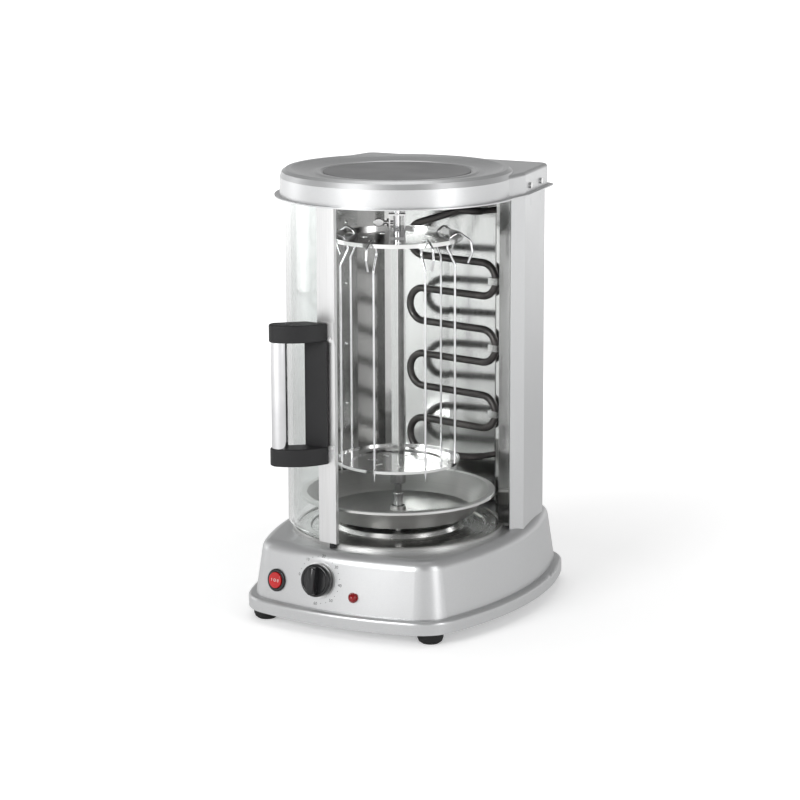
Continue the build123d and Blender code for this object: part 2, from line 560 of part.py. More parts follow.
def cold_ends():
    """Both cold ends: the top run's, which rises from its bend, and the bottom run's."""
    rise = tan(radians(TOP_RISE))
    middle = (RUN_Z[0] + RUN_Z[1]) / 2
    foot_along = -RUN_END - BEND_R * sin(radians(TOP_RISE))
    foot_z = middle + BEND_R * cos(radians(TOP_RISE))
    top_z = foot_z + (TOP_STRAIGHT - foot_along) * rise
    return [
        (foot_along, foot_z, TOP_STRAIGHT, top_z, TOP_RISE),
        (-RUN_END, RUN_Z[-1], BOTTOM_STRAIGHT, RUN_Z[-1], 0.0),
    ]


def end_place(straight, z):
    return cold_end(straight + TAIL_ALONG, TAIL_BACK, z)


def heater_run(z):
    """Straight run between the two rows of bends."""
    return Pos(0, ELEMENT_REACH, z) * Rot(0, 90, 0) * Cylinder(TUBE_R, 2 * RUN_END)


def heater_bend(n, side, angle):
    """Bend between run n and the next one down, started from the lower of the two."""
    lower, middle = RUN_Z[n + 1], (RUN_Z[n] + RUN_Z[n + 1]) / 2
    x = side * RUN_END
    section = Plane(origin=(x, ELEMENT_REACH, lower), x_dir=(0, 1, 0), z_dir=(side, 0, 0)) * Circle(TUBE_R)
    return revolve(section, Axis((x, ELEMENT_REACH, middle), (0, -side, 0)), angle)


def heater_tail(start_along, start_z, straight, z, rise):
    """End run: straight, then a smooth turn back to the reflector."""
    start = heater_point(start_along, 0, start_z)
    corner = heater_point(straight, 0, z)
    place, _ = end_place(straight, z)
    end = heater_point(straight + TAIL_ALONG, TAIL_BACK, z)
    ahead = Vector(*corner) - Vector(*start)
    ahead = ahead / ahead.length
    back = place.position - (place * Pos(0, 0, -1)).position
    path = Line(start, corner) + Spline(corner, end, tangents=[ahead, back])
    return sweep(Plane(origin=start, z_dir=ahead) * Circle(TUBE_R), path=path)


def build_element():
    last = len(RUN_Z) - 1
    body = heater_run(RUN_Z[1])
    for z in RUN_Z[2:last]:
        body += heater_run(z)
    for n in range(last):
        side = -1 if n % 2 == 0 else 1
        body += heater_bend(n, side, 180.0 if n else 180.0 - TOP_RISE)
    body = Rot(0, 0, -ELEMENT_AZ) * body
    insulators = []
    for end in cold_ends():
        body += heater_tail(*end)
        place, sheet_at = end_place(end[2], end[3])
        length = sheet_at + COLD_END_PAST
        body += place * Pos(0, 0, length / 2) * Cylinder(COLD_END_R, length)
        seat = sheet_at - REFLECTOR_T - CLEAR - COLLAR_T / 2
        collar = Pos(0, 0, seat) * Cylinder(INSULATOR_R, COLLAR_T)
        collar += Pos(0, 0, sheet_at + 1.5) * Cylinder(INSULATOR_NECK_R, 9.0)
        insulators.append(place * (collar - Cylinder(COLD_END_R, 4 * length)))
    write("heating_element", body)
    write("element_insulators", insulators)


def build_element_bar():
    """Upright bar close behind the right-hand bends, with a clip round the middle of each bend."""
    x, y = ELEMENT_HALF_W, ELEMENT_REACH
    seat = y + TUBE_R + CLEAR
    foot, top = BASE_TOP + CLEAR, FIN_FOOT - CLEAR
    bar = Pos(x, seat + BAR_T / 2, (foot + top) / 2) * Box(BAR_W, BAR_T, top - foot)
    bar = Rot(0, 0, -ELEMENT_AZ) * bar - tube(RAIL_OUT_R + CLEAR, RAIL_IN_R - CLEAR, foot - 1, BASE_TOP + RAIL_H + CLEAR)
    bar -= rod(RAIL_IN_R, foot - 1, BASE_TOP + FLOOR_T + FLOOR_STEP + CLEAR)
    write("element_bar", bar)
    clips = []
    bore = TUBE_R + 0.5
    front = y - bore - CLIP_WALL
    for n in (1, 3, 5):
        middle = (RUN_Z[n] + RUN_Z[n + 1]) / 2
        clip = Pos(x, (front + seat) / 2, middle) * Box(2 * (bore + CLIP_WALL), seat - front, CLIP_H)
        clip -= Pos(x, y, middle) * Cylinder(bore, CLIP_H + 1)
        clip -= Pos(x, y + bore, middle) * Box(2 * bore, 2 * bore, CLIP_H + 1)
        clips.append(Rot(0, 0, -ELEMENT_AZ) * clip)
    write("element_clips", clips)


# ================================================================ glass and door
def build_glass():
    outer = FIXED_GLASS_R + GLASS_T
    foot = BASE_TOP + RAIL_H
    pane = upright(ring_sector(FIXED_GLASS_R, outer, FIXED_EDGE, FIXED_BACK), foot, UPPER_RAIL_Z - 0.5)
    write("fixed_glass", pane)

    back = -degrees(atan2(-REFLECTOR_LEFT[-1][0], -REFLECTOR_LEFT[-1][1]))
    seat = back + degrees((REFLECTOR_T + CLEAR) / FIXED_GLASS_R)
    channel = ring_sector(FIXED_GLASS_R - 0.9, outer + 0.9, FIXED_BACK + 3.0, seat)
    channel -= ring_sector(FIXED_GLASS_R, outer, FIXED_EDGE, FIXED_BACK)
    write("glass_channel", upright(channel, foot, FIN_FOOT - CLEAR))

    door_out = DOOR_GLASS_R + GLASS_T
    door = upright(ring_sector(DOOR_GLASS_R, door_out, DOOR_EDGE, DOOR_BACK), DOOR_FOOT, UPPER_RAIL_Z - 1.0)
    write("door_glass", door)

    right = DOOR_EDGE + 0.9
    plan = ring_sector(door_out, door_out + STRIP_T, STRIP_LEFT, right)
    plan += ring_sector(DOOR_GLASS_R - 0.9, door_out + STRIP_T, DOOR_EDGE, right)
    plan += ring_sector(DOOR_GLASS_R - 0.9, DOOR_GLASS_R, DOOR_EDGE - 3.5, DOOR_EDGE)
    strip = upright(plan, STRIP_FOOT, FIN_FOOT - 0.5)
    strip += upright(ring_sector(DOOR_GLASS_R - 0.9, door_out + STRIP_T, STRIP_LEFT, right),
                     STRIP_FOOT, STRIP_FOOT + 1.2)
    write("door_strip", strip)

    roller_r = 3.0
    path_r = RAIL_OUT_R + CLEAR + roller_r
    guides = []
    for azimuth, top in (((STRIP_LEFT + right) / 2 + 2.5, STRIP_FOOT), (DOOR_BACK + 4.0, DOOR_FOOT)):
        at = polar(path_r, azimuth)
        guides.append(rod(roller_r, BASE_TOP + CLEAR, STRIP_FOOT - 0.8, at) + rod(1.1, STRIP_FOOT - 1.5, top, at))
    write("door_guides", guides)


def cap_plan():
    """Wing-shaped plan of a handle end cap: broad at the strip, round about the tube."""
    gx, gy = GRIP
    inner_r = DOOR_GLASS_R + GLASS_T + STRIP_T + 1.6
    root_right, root_left = polar(inner_r, -8.6), polar(inner_r + 5.0, -20.6)

    def on_end(angle):
        return (gx + CAP_END_R * cos(radians(angle)), gy + CAP_END_R * sin(radians(angle)))
    return make_face([
        ThreePointArc(on_end(-72), (gx + 21.5, gy - 1.5), root_right),
        Line(root_right, root_left),
        Line(root_left, on_end(148)),
        ThreePointArc(on_end(148), on_end(-142), on_end(-72)),
    ])


def build_handle():
    inner_r = DOOR_GLASS_R + GLASS_T + STRIP_T
    plan = cap_plan()
    levels = {"handle_cap_lower": CAP_FOOT, "handle_cap_upper": CAP_FOOT + CAP_H + GRIP_L}
    for name, foot in levels.items():
        cap = upright(plan, foot, foot + CAP_H)
        cap = fillet(cap.faces().sort_by(Axis.Z)[-1].edges(), 1.6)
        cap = fillet(cap.faces().sort_by(Axis.Z)[0].edges(), 1.6)
        write(name, cap)
    foot, top = CAP_FOOT + CAP_H, CAP_FOOT + CAP_H + GRIP_L
    write("handle_tube", tube(GRIP_R, GRIP_R - GRIP_WALL, foot, top, GRIP))

    right, left = polar(inner_r + 1.6, -8.6), polar(inner_r + 6.6, -20.6)
    length = hypot(left[0] - right[0], left[1] - right[1])
    lean = degrees(atan2(left[1] - right[1], left[0] - right[0]))
    centre = ((left[0] + right[0]) / 2, (left[1] + right[1]) / 2)
    plate = Pos(centre[0], centre[1], (foot + top) / 2) * Rot(0, 0, lean)
    plate = plate * Pos(0, PLATE_BACK / 2, 0) * Box(length, PLATE_BACK, top - foot)
    write("handle_backplate", plate)

    brackets, screws = [], []
    for low in levels.values():
        leaf = ring_sector(inner_r, inner_r + 1.6, -14.0, DOOR_EDGE + 0.9)
        brackets.append(upright(leaf, low - 1.0, low + CAP_H + 1.0))
    for z in (CAP_FOOT + CAP_H - 3.0, CAP_FOOT + CAP_H + GRIP_L + 3.0):
        x, y = polar(inner_r + 1.6, -6.6)
        a = radians(-6.6)
        out = Plane(origin=(x, y, z), x_dir=(cos(a), sin(a), 0), z_dir=(sin(a), -cos(a), 0))
        screws.append(out * Pos(0, 0, 0.7) * Cylinder(1.7, 1.4))
    write("handle_brackets", brackets)
    write("handle_screws", screws)


# ================================================================ lid
def lid_plan(grow=0.0):
    """Plan of the lid's straight-sided rear part, which covers the housing."""
    right = [(SKIRT_R - 4 + grow, 0), (SKIRT_R + grow, 26), (PILLAR[1][0] + grow, PILLAR[1][1]),
             (HOUSING_REAR_X + 1.5 + grow, LID_REAR_Y + grow)]
    plan = make_face(Polyline(*right, *mirrored(right), close=True))
    corners = plan.vertices().filter_by(lambda v: v.Y > LID_REAR_Y + grow - 1)
    return fillet(corners, HOUSING_CORNER_R + 2 + grow)


def lid_side_x(y):
    """Half width of the lid's skirt at a depth behind the housing's shoulders."""
    shoulder_x, shoulder_y = PILLAR[1]
    slope = (shoulder_x - HOUSING_REAR_X - 1.5) / (LID_REAR_Y - shoulder_y)
    return shoulder_x - slope * (y - shoulder_y)


def lid_screw_seat(side, y):
    """Plane on the outside of the lid's skirt, its z axis pointing outwards."""
    slope = (lid_side_x(y) - lid_side_x(y + 10)) / 10
    length = hypot(1, slope)
    return Plane(origin=(side * lid_side_x(y), y, LID_SCREW_Z), x_dir=(0, 0, 1),
                 z_dir=(side / length, slope / length, 0))


def lid_form(gap):
    """Outer (gap 0) or inner (gap = sheet) form of the lid: a dished round crown and its rear part."""
    top, skirt = LID_TOP - gap, SKIRT_R - gap
    crown = turned([
        (0, LID_Z - gap), (skirt, LID_Z - gap), (skirt, top - SHOULDER_R), (skirt - 2.2, top - 2.6),
        (skirt - 6.0, top), (RIM_IN_R + 3, top), (RIM_IN_R - 1, top - 1.6), (RIM_IN_R - 8, top - 3.4),
        (PLATE_R + 14.5, top - 4.5), (PLATE_R + 9.5, top - 4.2), (PLATE_R + 7.0, top - 3.1),
        (PLATE_R + 3.5, top - 3.2), (PLATE_R + 1.5, top - WELL_DEPTH),
        (0, top - WELL_DEPTH),
    ])
    plan = lid_plan(-gap) - Circle(RIM_IN_R)
    rear = upright(plan, LID_Z - gap, LID_REAR_TOP - gap)
    rim = rear.faces().sort_by(Axis.Z)[-1].outer_wire().edges()
    edges = [e for e in rim if e.center().Y > 30 and hypot(e.center().X, e.center().Y) > RIM_IN_R + 5]
    return crown + fillet(edges, 4.0 - gap)


def build_lid():
    shell = lid_form(0.0)
    grow = LIP_R - SKIRT_R
    shell += upright(lid_plan(grow), LID_Z, LID_Z + LID_SHEET)
    shell += rod(LIP_R, LID_Z, LID_Z + LID_SHEET)
    shell -= lid_form(LID_SHEET)
    for y in LID_SCREW_Y:
        for s in (-1, 1):
            shell -= lid_screw_seat(s, y) * Cylinder(LID_SCREW_R, 30)
    write("lid_shell", shell)

    floor = LID_TOP - WELL_DEPTH
    plate = rod(PLATE_R, floor, PLATE_TOP)
    plate = fillet(plate.faces().sort_by(Axis.Z)[-1].edges(), 0.6)
    write("lid_plate", plate)

    fin = 1.3
    z = UPPER_RAIL_Z
    fixed_out, door_out = FIXED_GLASS_R + GLASS_T, DOOR_GLASS_R + GLASS_T
    rail = turned([
        (FIXED_GLASS_R - 0.4 - fin, FIN_FOOT), (FIXED_GLASS_R - 0.4, FIN_FOOT), (FIXED_GLASS_R - 0.4, z),
        (fixed_out + 0.4, z), (fixed_out + 0.4, FIN_FOOT), (DOOR_GLASS_R - 0.6, FIN_FOOT), (DOOR_GLASS_R - 0.6, z),
        (door_out + 0.6, z), (door_out + 0.6, FIN_FOOT), (door_out + 0.6 + fin, FIN_FOOT),
        (door_out + 0.6 + fin, z + 1.4), (FIXED_GLASS_R - 0.4 - fin, z + 1.4),
    ])
    write("upper_rail", rail)

    liner = rod(FIXED_GLASS_R - 0.4 - fin - CLEAR, FIN_FOOT, FIN_FOOT + 1.2)
    liner += rod(12.0, FIN_FOOT, FIN_FOOT + 4.0)
    liner -= rod(BUSH_R, FIN_FOOT - 5, FIN_FOOT + 10)
    write("ceiling_plate", liner)

    bush = rod(BUSH_R, BUSH_FOOT, FIN_FOOT + 6) + rod(BUSH_R + 3, BUSH_FOOT, FIN_FOOT)
    bush -= rod(NECK_R + RUN_CLEAR, BUSH_FOOT, FIN_FOOT + 10)
    write("top_bush", bush)

    post_top = LID_TOP - LID_SHEET - CLEAR
    posts = [rod(POST_R, z + 1.4, post_top, polar(POST_AT, 45 + 90 * n)) for n in range(4)]
    write("rail_posts", posts)

    screws = []
    for s in (-1, 1):
        for y in LID_SCREW_Y:
            inner_end = housing_side_x(y) - HOUSING_T - LID_TAB_GAP - LID_TAB_T - lid_side_x(y)
            head = Pos(0, 0, 1.0) * Cylinder(LID_SCREW_HEAD_R, 2.0)
            shank = Pos(0, 0, (inner_end + 0.5) / 2) * Cylinder(LID_SCREW_R, 0.5 - inner_end)
            screws.append(lid_screw_seat(s, y) * (head + shank))
    write("lid_screws", screws)


# ================================================================ controls
def build_controls():
    place = panel_frame(ROCKER_X, ROCKER_Z)
    body = Pos(0, 0, 1.0) * Cylinder(BEZEL_R, 2.0)
    body = fillet(body.faces().sort_by(Axis.Z)[-1].edges(), 1.0)
    body += Pos(0, 0, -8.0) * Cylinder(BEZEL_R - 1.7, 16.0)
    body -= Pos(0, 0, -0.5) * Cylinder(ROCKER_BORE_R, 7.0)
    body += Pos(0, 0, -3.3) * Box(2.4, 3.0, 2.6)
    body -= Rot(90, 0, 0) * Cylinder(ROCKER_PIN_R + RUN_CLEAR, 2 * ROCKER_PIN_REACH + 0.2)
    write("switch_body", place * body)
    paddle = Pos(0, 0, 1.0) * Cylinder(PADDLE_R, PADDLE_T)
    paddle = fillet(paddle.edges(), 0.5)
    paddle += Rot(90, 0, 0) * Cylinder(ROCKER_PIN_R, 2 * ROCKER_PIN_REACH)
    write("power_rocker", place * paddle)

    place = panel_frame(KNOB_X, KNOB_Z)
    ring = Pos(0, 0, 0.5) * Cylinder(KNOB_R + 1.6, 1.0) - Cylinder(KNOB_SHAFT_R + 1, 10)
    write("timer_ring", place * ring)
    knob = Pos(0, 0, 1.4 + 4.0) * Cylinder(KNOB_R, 8.0)
    knob = fillet(knob.faces().sort_by(Axis.Z)[-1].edges(), 2.0)
    bar = Pos(0, 0, 2.4 + KNOB_BAR_H / 2) * Box(KNOB_BAR_W, 2 * KNOB_R - 2.5, KNOB_BAR_H)
    bar = fillet(bar.edges().filter_by(Axis.Z), 2.5)
    bar = fillet(bar.faces().sort_by(Axis.Z)[-1].edges(), 1.5)
    knob += bar
    knob += Pos(0, 0, -4.0) * Cylinder(KNOB_SHAFT_R, 12.0)
    write("timer_knob", place * knob)
    timer = Pos(0, 0, -SHEET - 13.0) * Box(42, 42, 22.0)
    timer += Pos(0, 0, -SHEET - 1.2) * Cylinder(KNOB_SHAFT_R + 3.0, 1.8)
    timer -= Pos(0, 0, -6) * Cylinder(KNOB_SHAFT_R + RUN_CLEAR, 10.0)
    write("timer_body", place * timer)

    place = panel_frame(LAMP_X, LAMP_Z)
    lens = Pos(0, 0, 0.75) * Cylinder(LAMP_R, 1.5)
    lens += Pos(0, 0, 1.5) * (Sphere(LAMP_R - 0.6) & Pos(0, 0, 5) * Box(20, 20, 10))
    write("lamp_lens", place * lens)
    write("lamp_body", place * Pos(0, 0, -9.0) * Cylinder(LAMP_R - 1.1, 18.0))


def build_wiring():
    rear_y = AXIS_TO_BASE + BASE_D / 2
    wall_y = rear_y - LEDGE_W - (GLAND_Z - FLANGE_TOP) * tan(radians(BASE_TAPER))
    gland = Cylinder(GLAND_R, 5.0) + Pos(0, 0, -5.0) * Cylinder(GLAND_R - 2.1, 12.0)
    gland = gland + Pos(0, 0, 5.0) * Cone(GLAND_R - 1.5, GLAND_R - 3.0, 6.0)
    gland -= Cylinder(CORD_R, 40)
    write("cord_gland", Pos(GLAND_X, wall_y + 1.2, GLAND_Z) * Rot(-90, 0, 0) * gland)

    floor = FOOT_H + BOTTOM_PLATE_T
    strip = block(44, 16, floor, floor + 13, (50, AXIS_TO_BASE + 72))
    for n in range(4):
        strip -= rod(2.4, floor + 8, floor + 15, (35 + 10 * n, AXIS_TO_BASE + 72))
    write("terminal_block", strip)


def main():
    os.makedirs("parts", exist_ok=True)
    build_base()
    build_chamber_floor()
    build_drive()
    build_carousel()
    build_skewers()
    build_drip_pan()
    build_housing()
    build_reflector()
    build_element()
    build_element_bar()
    build_glass()
    build_handle()
    build_lid()
    build_controls()
    build_wiring()


main()
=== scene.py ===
import bpy
import bmesh
import json
from math import copysign, cos, radians, sin
from mathutils import Matrix, Vector
from mathutils.bvhtree import BVHTree


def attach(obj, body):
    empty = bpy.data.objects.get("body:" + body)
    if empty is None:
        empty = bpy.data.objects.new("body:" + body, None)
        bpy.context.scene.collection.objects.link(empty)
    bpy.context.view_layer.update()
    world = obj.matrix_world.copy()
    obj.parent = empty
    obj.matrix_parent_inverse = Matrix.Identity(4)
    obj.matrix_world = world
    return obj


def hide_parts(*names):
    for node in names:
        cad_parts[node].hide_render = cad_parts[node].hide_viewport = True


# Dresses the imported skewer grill: a finish for every node, a moulded timer knob, the printed timer scale and
# rocker marks, a pale floor, soft studio light and the photograph's camera.
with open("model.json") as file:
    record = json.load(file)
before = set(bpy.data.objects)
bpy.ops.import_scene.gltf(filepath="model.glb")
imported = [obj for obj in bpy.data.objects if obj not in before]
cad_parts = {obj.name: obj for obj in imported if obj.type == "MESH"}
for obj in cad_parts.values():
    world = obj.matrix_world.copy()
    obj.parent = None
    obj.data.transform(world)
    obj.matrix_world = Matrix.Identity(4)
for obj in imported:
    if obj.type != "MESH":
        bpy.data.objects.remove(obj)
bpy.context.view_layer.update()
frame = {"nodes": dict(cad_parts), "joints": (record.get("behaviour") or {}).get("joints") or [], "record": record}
nodes = frame["nodes"]
joints = {j["name"]: j for j in frame["joints"]}

# ---------------------------------------------------------------- camera
CAMERA_AZIMUTH = 28.0                      # degrees to the right of straight ahead
CAMERA_DISTANCE = 2.661                    # horizontal, from the chamber's axis
CAMERA_HEIGHT = 0.791
CAMERA_PITCH, CAMERA_PAN, CAMERA_ROLL = 12.17, -0.05, -0.20
CAMERA_LENS, SENSOR_WIDTH = 118.2, 36.0    # mm
CAMERA_REACH = 60.0

# ---------------------------------------------------------------- light and floor
AMBIENT = 0.42                             # world strength for diffuse light
SEEN_BY_METAL = (1.0, 0.26)                # world strength in reflections, at the horizon and overhead
SKY_FALL = 0.32                            # sine of the elevation at which the overhead strength is reached
LAMP_TARGET = (0, 0, 0.24)
LAMPS = (                                  # name, place, width and height, watts
    ("key", (-0.45, -2.15, 1.0), (1.1, 0.8), 27),
    ("left_strip", (-1.9, -0.1, 0.55), (0.6, 1.1), 2.5),
    ("right_strip", (2.0, -0.5, 0.8), (0.6, 1.6), 10),
    ("top", (-0.2, 0.3, 2.2), (1.2, 1.2), 6),
)
FLOOR_HALF = 40.0
FLOOR_GREY, FLOOR_ROUGH, FLOOR_SHINE = 0.90, 0.9, 0.1
FLOOR_SEEN = (0.30, 1.60, 0.34, 1.0)       # floor glow for the eye: near and far ring, and strength at each
FLOOR_MIRRORED = (1.00, 3.40, 0.08, 0.95)  # the same for reflections, where the studio floor is darker

# ---------------------------------------------------------------- places taken from the frame
AXIS_Y = joints["carousel_spin"]["pos_m"][1]
AXIS = (0, AXIS_Y, 0)                      # foot of the chamber's axis

# ---------------------------------------------------------------- metal grain
UPRIGHT_GRAIN = (60, 60, 1)                # stretch that turns noise into upright grinding lines
GRAIN_DEPTH = 0.000012

# ---------------------------------------------------------------- printed marks
SCALE_MINUTES = (0, 10, 20, 30, 40, 50, 60)
SCALE_START, SCALE_STEP = 174.0, 45.0      # degrees: the first number, then clockwise
SCALE_NUMBER_R, SCALE_NUMBER_H = 0.0245, 0.0030
SCALE_DOT_AT, SCALE_DOT_R, SCALE_DOT_SIDES = 0.0238, 0.00042, 12
SCALE_DOTS = 2                             # between one number and the next
MARK_APART, MARK_H = 0.0042, 0.0030
ROCKER_MARKS = (("I", -MARK_APART), ("O", 0.0), ("II", MARK_APART))
GLYPH_EM, GLYPH_STEPS = 1.45, 3            # font size for a given height of capital, steps per curve
RAY_START = 0.02                           # how far out of the surface a print is laid from
PRINT_LIFT = 0.00004

# ---------------------------------------------------------------- timer knob
MM = 0.001
KNOB_DEPTH = 0.0174                        # wall to the top of the knob's ridge
KNOB_PROFILE = (                           # mm, radius and height above the wall
    (0.05, -10.0), (3.0, -10.0), (3.0, 1.4), (15.6, 1.4), (16.4, 1.8), (16.75, 2.8), (16.75, 7.2),
    (16.5, 8.3), (15.8, 9.1), (14.9, 9.4), (14.0, 9.1), (13.3, 8.4), (0.05, 8.2),
)
KNOB_FACETS = 72
KNOB_CREASE = 38.0                         # degrees above which an edge stays sharp
RIDGE_HALF_W, RIDGE_HALF_L = 4.7, 14.6     # mm
RIDGE_OVAL = (0.75, 0.42)                  # powers across and along: 1 is an ellipse, 0 a rectangle
RIDGE_LAYERS = (                           # mm of height, and share of the plan's width
    (7.6, 1.0), (14.6, 0.93), (16.2, 0.89), (17.1, 0.81), (17.4, 0.68),
)


# ================================================================ node helpers
def mixed(tree, factor, off, on):
    """Blend two values, each a number or a socket."""
    node = tree.nodes.new("ShaderNodeMix")
    tree.links.new(factor, node.inputs[0])
    for socket, value in ((node.inputs[2], off), (node.inputs[3], on)):
        if isinstance(value, float):
            socket.default_value = value
        else:
            tree.links.new(value, socket)
    return node.outputs[0]


def scaled(tree, source, low, high, to_low, to_high):
    """Map a value from one range to another, held at both ends."""
    node = tree.nodes.new("ShaderNodeMapRange")
    ranges = (("From Min", low), ("From Max", high), ("To Min", to_low), ("To Max", to_high))
    for key, number in ranges:
        node.inputs[key].default_value = number
    tree.links.new(source, node.inputs["Value"])
    return node.outputs[0]


class Nodes:
    """Small builder round one material's node tree."""

    def __init__(self, name):
        self.material = bpy.data.materials.new(name)
        self.material.use_nodes = True
        self.tree = self.material.node_tree
        self.shader = self.tree.nodes["Principled BSDF"]

    def add(self, kind, **settings):
        node = self.tree.nodes.new(kind)
        for key, value in settings.items():
            setattr(node, key, value)
        return node

    def link(self, out, into):
        self.tree.links.new(out, into)
        return self

    def put(self, **values):
        """Set sockets of the shader: spaces in the socket's name are written as underscores."""
        for key, value in values.items():
            self.shader.inputs[key.replace("_", " ")].default_value = value
        return self

    def place(self, stretch=(1, 1, 1)):
        """Object coordinates, stretched."""
        coords = self.add("ShaderNodeTexCoord")
        mapping = self.add("ShaderNodeMapping")
        mapping.inputs["Scale"].default_value = stretch
        self.link(coords.outputs["Object"], mapping.inputs["Vector"])
        return mapping.outputs["Vector"]

    def turned_place(self, centre):
        """Distance from an upright axis, and height: equal all the way round."""
        coords = self.add("ShaderNodeTexCoord")
        shift = self.add("ShaderNodeVectorMath", operation="SUBTRACT")
        shift.inputs[1].default_value = centre
        flat = self.add("ShaderNodeVectorMath", operation="MULTIPLY")
        flat.inputs[1].default_value = (1, 1, 0)
        radius = self.add("ShaderNodeVectorMath", operation="LENGTH")
        split = self.add("ShaderNodeSeparateXYZ")
        join = self.add("ShaderNodeCombineXYZ")
        self.link(coords.outputs["Object"], shift.inputs[0]).link(shift.outputs[0], flat.inputs[0])
        self.link(flat.outputs[0], radius.inputs[0]).link(shift.outputs[0], split.inputs[0])
        self.link(radius.outputs["Value"], join.inputs["X"]).link(split.outputs["Z"], join.inputs["Z"])
        return join.outputs["Vector"]

    def noise(self, place, scale, detail=3.0, roughness=0.5):
        node = self.add("ShaderNodeTexNoise")
        node.inputs["Scale"].default_value = scale
        node.inputs["Detail"].default_value = detail
        node.inputs["Roughness"].default_value = roughness
        self.link(place, node.inputs["Vector"])
        return node.outputs["Fac"]

    def spread(self, noise, low, high):
        """Map a noise's middle range to another range."""
        return scaled(self.tree, noise, 0.3, 0.7, low, high)

    def ramp(self, value, stops):
        """Colour ramp with (position, colour) stops."""
        node = self.add("ShaderNodeValToRGB")
        elements = node.color_ramp.elements
        while len(elements) < len(stops):
            elements.new(0.5)
        for element, (position, colour) in zip(elements, stops):
            element.position = position
            element.color = (*colour, 1)
        self.link(value, node.inputs["Fac"])
        return node.outputs["Color"]

    def bump(self, height, distance, strength):
        node = self.add("ShaderNodeBump")
        node.inputs["Strength"].default_value = strength
        node.inputs["Distance"].default_value = distance
        self.link(height, node.inputs["Height"])
        self.link(node.outputs["Normal"], self.shader.inputs["Normal"])
        return self

    def to(self, value, socket):
        self.link(value, self.shader.inputs[socket])
        return self


def shades(colour, amount):
    """Darker and lighter neighbours of a colour."""
    dark = tuple(c * (1 - amount) for c in colour)
    light = tuple(min(1.0, c * (1 + amount)) for c in colour)
    return dark, light


# ================================================================ materials
def silver_paint():
    """Satin silver paint with fine aluminium flake and a soft clear coat."""
    m = Nodes("silver_paint")
    flake = m.noise(m.place(), 2600.0, detail=2.0, roughness=0.7)
    dark, light = shades((0.60, 0.605, 0.61), 0.07)
    m.to(m.ramp(flake, [(0.35, dark), (0.65, light)]), "Base Color")
    m.to(m.spread(m.noise(m.place(), 14.0), 0.34, 0.40), "Roughness")
    m.bump(flake, 0.00002, 0.5)
    return m.put(Metallic=0.80, Coat_Weight=0.10, Coat_Roughness=0.25).material


def grey_plate():
    """Dark grey satin paint of the round plate on the lid."""
    m = Nodes("grey_plate")
    grain = m.noise(m.place(), 1500.0, detail=2.0, roughness=0.6)
    dark, light = shades((0.16, 0.16, 0.165), 0.10)
    m.to(m.ramp(grain, [(0.35, dark), (0.65, light)]), "Base Color")
    m.to(m.spread(m.noise(m.place(), 20.0), 0.30, 0.38), "Roughness")
    m.bump(grain, 0.00003, 0.5)
    return m.put(Metallic=0.35).material


def ground(m, place, scale, colour, rough):
    """Metal with fine grinding lines, given the coordinates that they follow."""
    lines = m.noise(place, scale, detail=4.0, roughness=0.65)
    smudge = m.noise(m.place(), 18.0, detail=4.0, roughness=0.55)
    dark, light = shades(colour, 0.05)
    m.to(m.ramp(lines, [(0.3, dark), (0.7, light)]), "Base Color")
    worn = m.add("ShaderNodeMath", operation="MULTIPLY_ADD")
    worn.inputs[1].default_value = 0.10
    m.link(lines, worn.inputs[0]).link(m.spread(smudge, rough - 0.05, rough + 0.03), worn.inputs[2])
    m.to(worn.outputs[0], "Roughness")
    m.bump(lines, GRAIN_DEPTH, 0.6)
    return m.put(Metallic=1.0).material


def brushed(name, colour, rough, stretch=UPRIGHT_GRAIN, scale=12.0):
    """Sheet metal with grinding lines along one direction."""
    m = Nodes(name)
    return ground(m, m.place(stretch), scale, colour, rough)


def turned(name, colour, rough, scale=500.0):
    """Sheet metal spun about the chamber's axis, with fine rings."""
    m = Nodes(name)
    return ground(m, m.turned_place(AXIS), scale, colour, rough)


def polished(name, colour, rough, mottle=0.04):
    """Plated or polished metal: nearly a mirror, with faint haze."""
    m = Nodes(name)
    haze = m.noise(m.place(), 60.0, detail=5.0, roughness=0.6)
    dark, light = shades(colour, mottle)
    m.to(m.ramp(haze, [(0.3, dark), (0.7, light)]), "Base Color")
    m.to(m.spread(haze, max(rough - 0.03, 0.02), rough + 0.04), "Roughness")
    m.bump(m.noise(m.place(), 900.0), 0.000004, 0.4)
    return m.put(Metallic=1.0).material


def element_sheath():
    """Steel sheath darkened by heat, with a faint brown cast and a dull skin."""
    m = Nodes("element_sheath")
    patch = m.noise(m.place(), 34.0, detail=5.0, roughness=0.6)
    burnt, dull, bare = (0.055, 0.052, 0.052), (0.085, 0.080, 0.078), (0.13, 0.12, 0.115)
    m.to(m.ramp(patch, [(0.25, burnt), (0.5, dull), (0.8, bare)]), "Base Color")
    m.to(m.spread(patch, 0.30, 0.45), "Roughness")
    m.bump(m.noise(m.place(), 1300.0), 0.00003, 0.6)
    return m.put(Metallic=0.6).material


def moulded(name, colour, rough, grain, depth, coat=0.0):
    """Moulded plastic or rubber with a fine spark-eroded grain."""
    m = Nodes(name)
    texture = m.noise(m.place(), grain, detail=3.0, roughness=0.6)
    dark, light = shades(colour, 0.12)
    m.to(m.ramp(texture, [(0.35, dark), (0.65, light)]), "Base Color")
    m.to(m.spread(m.noise(m.place(), 25.0), rough - 0.04, rough + 0.04), "Roughness")
    m.bump(texture, depth, 0.7)
    return m.put(Coat_Weight=coat, Coat_Roughness=0.08, Specular_IOR_Level=0.3).material


